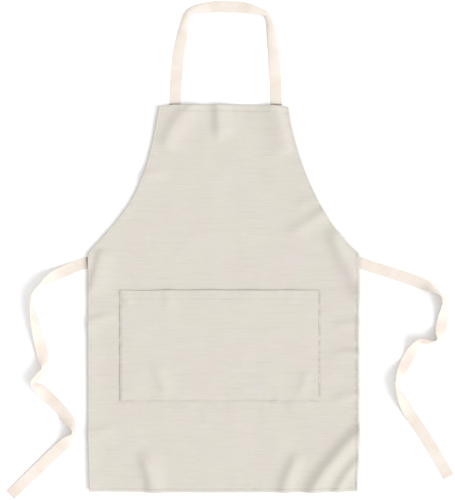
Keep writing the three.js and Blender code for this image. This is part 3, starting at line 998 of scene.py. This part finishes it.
def sewLine(name, corners, topOf, bar=False):  # a line of stitches on the cloth, or a bar tack
    points = np.array(corners, float)
    run = np.concatenate([[0], np.cumsum(np.hypot(*np.diff(points, axis=0).T))])
    marks = np.linspace(0, run[-1], max(2, int(run[-1] / stitch["pathStep"])))
    x, y = np.interp(marks, run, points[:, 0]), np.interp(marks, run, points[:, 1])
    z = topOf(x, y) - stitch["sunk"]
    links = [(i, i + 1) for i in range(len(marks) - 1)]
    path = makeMesh(f"{name}_path", np.stack([x, y, z], 1), [], None, edges=links)
    thick = mm * stitch["thick"]
    settings = {
        "Pitch": stitch["tackPitch" if bar else "pitch"] * mm,
        "Size": [mm * stitch["tackLong" if bar else "long"], thick, thick],
        "Turn": math.pi / 2 if bar else 0.0,
        "Stray": math.radians(stitch["stray"]),
        "Seed": sum(map(ord, name)),
        "Thread": sewingThread,
    }
    modifier = path.modifiers.new("stitches", "NODES")
    modifier.node_group = stitches
    for socket in stitches.interface.items_tree:
        if socket.name in settings:
            modifier[socket.identifier] = settings[socket.name]
    evaluated = path.evaluated_get(bpy.context.evaluated_depsgraph_get())
    mesh = bpy.data.meshes.new_from_object(evaluated)
    bpy.data.objects.remove(path)
    piece = bpy.data.objects.new(name, mesh)
    scene.collection.objects.link(piece)
    return piece


def besideEdge(node, side, count):  # a seam's line beside the cloth's edge
    low, high = patternBox(node)
    y = np.linspace(low[1], high[1], count)
    slant = slantAt(side, y) if "armhole" in node else 1
    return np.stack([edgeX(side, y) - side * slant * seamInset["side"], y], 1)


def besideEnd(node, shiftOf, seamAt, count):  # and beside its bottom or its top
    low, high = patternBox(node)
    x = np.linspace(low[0], high[0], count)
    return np.stack([x, shiftOf(x) + seamAt], 1)


def tackEnds(node, axis):  # the two ends of a tack that runs along that axis
    ends = [corner[:2] for corner in patternBox(node)]
    for end in ends:
        end[1 - axis] = lineOf(node, 1 - axis)
    return ends


sewn = {}  # the CAD node that each line of stitches stands for
for word, side in sides.items():
    for part, count in (("side", 60), ("armhole", 90)):
        node = f"{word}_{part}_thread"
        sewn[node] = sewLine(f"{word}_{part}_stitches", besideEdge(node, side, count), panelTop)
    for node, axis in ((f"{word}_tie_tack", 1), (f"neck_strap_{word}_tack", 0)):
        sewn[node] = sewLine(f"{node}_stitches", tackEnds(node, axis), panelTop)
    node = f"pocket_{word}_bar_tack"
    sewn[node] = sewLine(f"pocket_{word}_bar_stitches", tackEnds(node, 1), pocketTop, bar=True)
for part, shiftOf, seamAt, count in (
    ("bottom", bottomShift, seamInset["bottom"], 80),
    ("top", topShift, pattern["length"] - seamInset["top"], 60),
):
    node = f"{part}_hem_thread"
    sewn[node] = sewLine(f"{part}_hem_stitches", besideEnd(node, shiftOf, seamAt, count), panelTop)
inset, hemLine = seamInset["pocket"], pocketMouth - seamInset["pocketHem"]
seamLeft, seamRight, seamFoot = pocketLeft + inset, pocketRight - inset, pocketFoot + inset
seamHead = patternBox("pocket_seam_thread")[1][1]
ends = seamInset["pocketHemEnds"]
for part, corners in (
    ("seam", [(seamLeft, seamHead), (seamLeft, seamFoot), (seamRight, seamFoot), (seamRight, seamHead)]),
    ("hem", [(seamLeft + ends, hemLine), (seamRight - ends, hemLine)]),
):
    sewn[f"pocket_{part}_thread"] = sewLine(f"pocket_{part}_stitches", corners, pocketTop)
print("apron: stitches made")


# Hide the CAD parts that each piece stands for, and hang the cloth and its stitches on the apron's body.
def standsFor(piece, slot, *nodes):
    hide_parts(*nodes)


standsFor(apronPanel, "canvas", "body_panel")
standsFor(patchPocket, "canvas", "pocket_panel")
for node, piece in {**hems, **pocketBacks}.items():
    standsFor(piece, "canvas", node)
for node, piece in sewn.items():
    standsFor(piece, "thread", node)
for piece in (apronPanel, patchPocket, *hems.values(), *pocketBacks.values(), *sewn.values()):
    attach(piece, "apron")
standsFor(neckStrap, "tape", "neck_strap", "neck_strap_left_end", "neck_strap_right_end")
standsFor(leftTie, "tape", "left_tie", "left_tie_end")
standsFor(rightTie, "tape", "right_tie", "right_tie_end")

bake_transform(neckStrap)
for tie, body, side in ((leftTie, "left_tie", -1), (rightTie, "right_tie", 1)):
    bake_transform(tie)

heights = np.linspace(0, pattern["length"], 400)
widths = edgeX(1, heights) - edgeX(-1, heights)


# The floor, the light and the camera.
studio = {
    "floor": "#F9F9F9",
    "floorHalf": 12,  # m
    "floorDrop": 0.2,  # mm under the apron
    "sunStrength": 1.65,
    "sunAngle": 32,  # degrees across, which softens the shadows
    "sunFrom": (1, -0.5),  # the key light comes from the right, and a little from the foot
    "sunHeight": 38,  # degrees
    "skyStrength": 0.91,
    "lens": 85,
    "viewHeight": 1.107,  # m of floor from the top to the bottom of the picture
    "viewMiddle": (-0.006, -0.0001),
    "clipEnd": 40,
}
floorMaterial, tree = newMaterial("white paper backdrop")  # smooth, matt and plain
floorShader = addNode(tree, "ShaderNodeBsdfPrincipled", {
    "Base Color": linear(studio["floor"]), "Roughness": 1.0, "Specular IOR Level": 0.0,
})
addNode(tree, "ShaderNodeOutputMaterial", {"Surface": floorShader})
half, drop = studio["floorHalf"] / mm, -studio["floorDrop"]
floorCorners = [(-half, -half, drop), (half, -half, drop), (half, half, drop), (-half, half, drop)]
floor = makeMesh("floor", floorCorners, [(0, 1, 2, 3)], floorMaterial)

sun = bpy.data.objects.new("key light", bpy.data.lights.new("key light", "SUN"))
sun.data.energy = studio["sunStrength"]
sun.data.angle = math.radians(studio["sunAngle"])
sunUp = math.tan(math.radians(studio["sunHeight"])) * math.hypot(*studio["sunFrom"])
sun.rotation_euler = Vector((*studio["sunFrom"], sunUp)).to_track_quat("Z", "Y").to_euler()
scene.collection.objects.link(sun)

world = bpy.data.worlds.new("soft white room")
world.use_nodes = True
world.node_tree.nodes["Background"].inputs["Color"].default_value = (1, 1, 1, 1)
world.node_tree.nodes["Background"].inputs["Strength"].default_value = studio["skyStrength"]
scene.world = world
scene.view_settings.view_transform = "Standard"

camera = bpy.data.objects.new("camera", bpy.data.cameras.new("camera"))
camera.data.lens = studio["lens"]
distance = studio["viewHeight"] * studio["lens"] / camera.data.sensor_width
camera.location = (*studio["viewMiddle"], distance)
camera.data.clip_end = studio["clipEnd"]
scene.collection.objects.link(camera)
scene.camera = camera

print("apron: finished")
